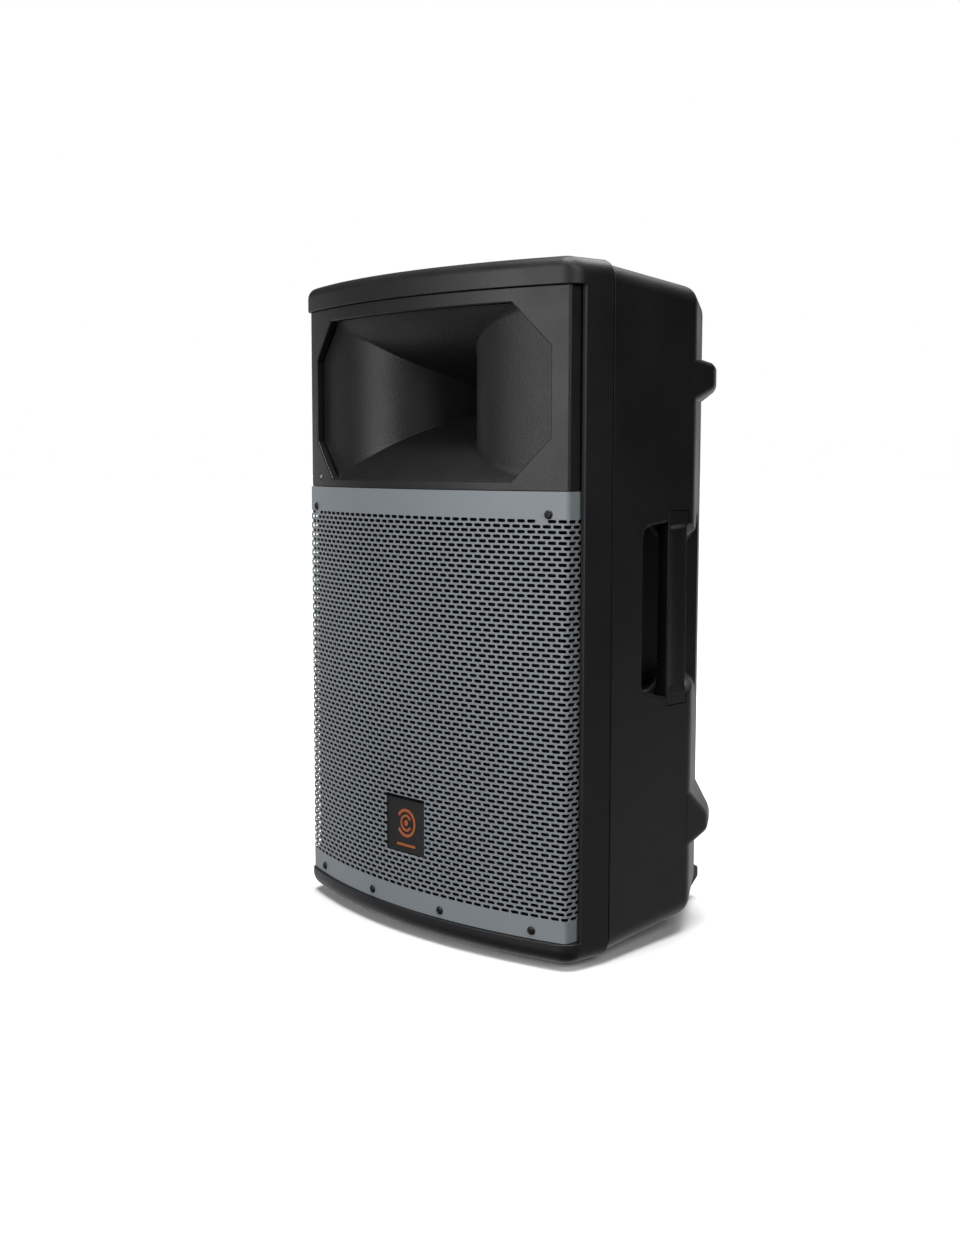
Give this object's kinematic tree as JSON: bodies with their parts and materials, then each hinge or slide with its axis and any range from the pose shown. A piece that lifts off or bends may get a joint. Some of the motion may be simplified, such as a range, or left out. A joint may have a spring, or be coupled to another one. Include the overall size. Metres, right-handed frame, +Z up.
{
  "type": "powered loudspeaker cabinet",
  "caption": "Powered two-way PA loudspeaker cabinet with a horn over a woofer behind a bent steel grille, side grips, rear amplifier panel and a pole socket.",
  "frame": {"origin": "on the floor under the middle of the cabinet, at the bottom of its rubber feet", "axes": "+Z up, front facing -Y, +X to the right as seen from the front"},
  "size_m": [0.432, 0.3476, 0.695],
  "materials": {
    "moulded_shell": "satin, fine moulded grain",
    "horn_plastic": "satin, fine moulded grain",
    "grille_paint": "semi-matt grey powder coat",
    "badge_plate": "brushed dark",
    "black_screw": "black passivated",
    "lamp_lens": "clear",
    "grip_plastic": "satin, fine grain",
    "rubber": "matt",
    "black_plastic": "satin",
    "plated_steel": "zinc plated",
    "cone_paper": "pressed paper fibre",
    "surround_cloth": "doped cloth",
    "spider_cloth": "corrugated resin-treated cloth",
    "ferrite": "matt sintered",
    "coil_copper": "enamelled copper",
    "panel_paint": "fine textured black",
    "heat_sink": "black anodised",
    "circuit_board": "solder mask",
    "transformer": "wrapped film",
    "knob_plastic": "soft touch"
  },
  "bodies": {
    "cabinet": {"front_shell": "moulded_shell", "rear_cabinet": "moulded_shell", "horn_panel": "moulded_shell", "horn_flare": "horn_plastic", "power_lamp": "lamp_lens", "grille": "grille_paint", "grille_screw_1": "black_screw", "grille_screw_2": "black_screw", "grille_screw_3": "black_screw", "grille_screw_4": "black_screw", "grille_screw_5": "black_screw", "grille_screw_6": "black_screw", "panel_screw_1": "black_screw", "panel_screw_2": "black_screw", "panel_screw_3": "black_screw", "panel_screw_4": "black_screw", "badge_plate": "badge_plate", "handle_grip_left": "grip_plastic", "handle_grip_right": "grip_plastic", "front_foot_left": "rubber", "front_foot_right": "rubber", "rear_foot_left": "rubber", "rear_foot_right": "rubber", "port_tube_left": "black_plastic", "port_tube_right": "black_plastic", "pole_socket": "black_plastic", "driver_cap": "black_plastic", "button_switch_mode": "black_plastic", "button_switch_lift": "black_plastic", "input_socket_a": "black_plastic", "input_socket_b": "black_plastic", "link_socket": "black_plastic", "power_inlet": "black_plastic", "fuse_holder": "black_plastic", "rocker_frame": "black_plastic", "woofer_basket": "plated_steel", "woofer_top_plate": "plated_steel", "woofer_back_plate": "plated_steel", "driver_front_plate": "plated_steel", "potentiometer_mic": "plated_steel", "potentiometer_line": "plated_steel", "potentiometer_master": "plated_steel", "woofer_surround": "surround_cloth", "woofer_spider": "spider_cloth", "woofer_magnet": "ferrite", "driver_magnet": "ferrite", "amp_panel": "panel_paint", "heat_sink": "heat_sink", "circuit_board": "circuit_board", "transformer": "transformer"},
    "knob_mic": {"knob_mic": "knob_plastic"},
    "knob_line": {"knob_line": "knob_plastic"},
    "knob_master": {"knob_master": "knob_plastic"},
    "button_mode": {"button_mode": "knob_plastic"},
    "button_lift": {"button_lift": "knob_plastic"},
    "power_rocker": {"power_rocker": "knob_plastic"},
    "woofer_cone": {"woofer_cone": "cone_paper", "woofer_dust_cap": "cone_paper", "woofer_voice_coil": "coil_copper"}
  },
  "joints": [
    {"name": "knob_mic_turn", "type": "hinge", "parent": "cabinet", "child": "knob_mic", "pos_m": [0.076, 0.1608, 0.505], "axis": [0, 1, 0], "range_deg": [-150, 150]},
    {"name": "knob_line_turn", "type": "hinge", "parent": "cabinet", "child": "knob_line", "pos_m": [0.04, 0.1608, 0.505], "axis": [0, 1, 0], "range_deg": [-150, 150]},
    {"name": "knob_master_turn", "type": "hinge", "parent": "cabinet", "child": "knob_master", "pos_m": [0.004, 0.1608, 0.505], "axis": [0, 1, 0], "range_deg": [-150, 150]},
    {"name": "button_mode_press", "type": "slide", "parent": "cabinet", "child": "button_mode", "axis": [0, -1, 0], "range_m": [0, 0.002], "stiffness_N_per_m": 400},
    {"name": "button_lift_press", "type": "slide", "parent": "cabinet", "child": "button_lift", "axis": [0, -1, 0], "range_m": [0, 0.002], "stiffness_N_per_m": 400},
    {"name": "power_rocker_tip", "type": "hinge", "parent": "cabinet", "child": "power_rocker", "pos_m": [-0.048, 0.1498, 0.195], "axis": [1, 0, 0], "range_deg": [0, 16]},
    {"name": "woofer_cone_travel", "type": "slide", "parent": "cabinet", "child": "woofer_cone", "axis": [0, 1, 0], "range_m": [-0.006, 0.006], "stiffness_N_per_m": 4000, "deforming": ["woofer_surround", "woofer_spider"]}
  ]
}
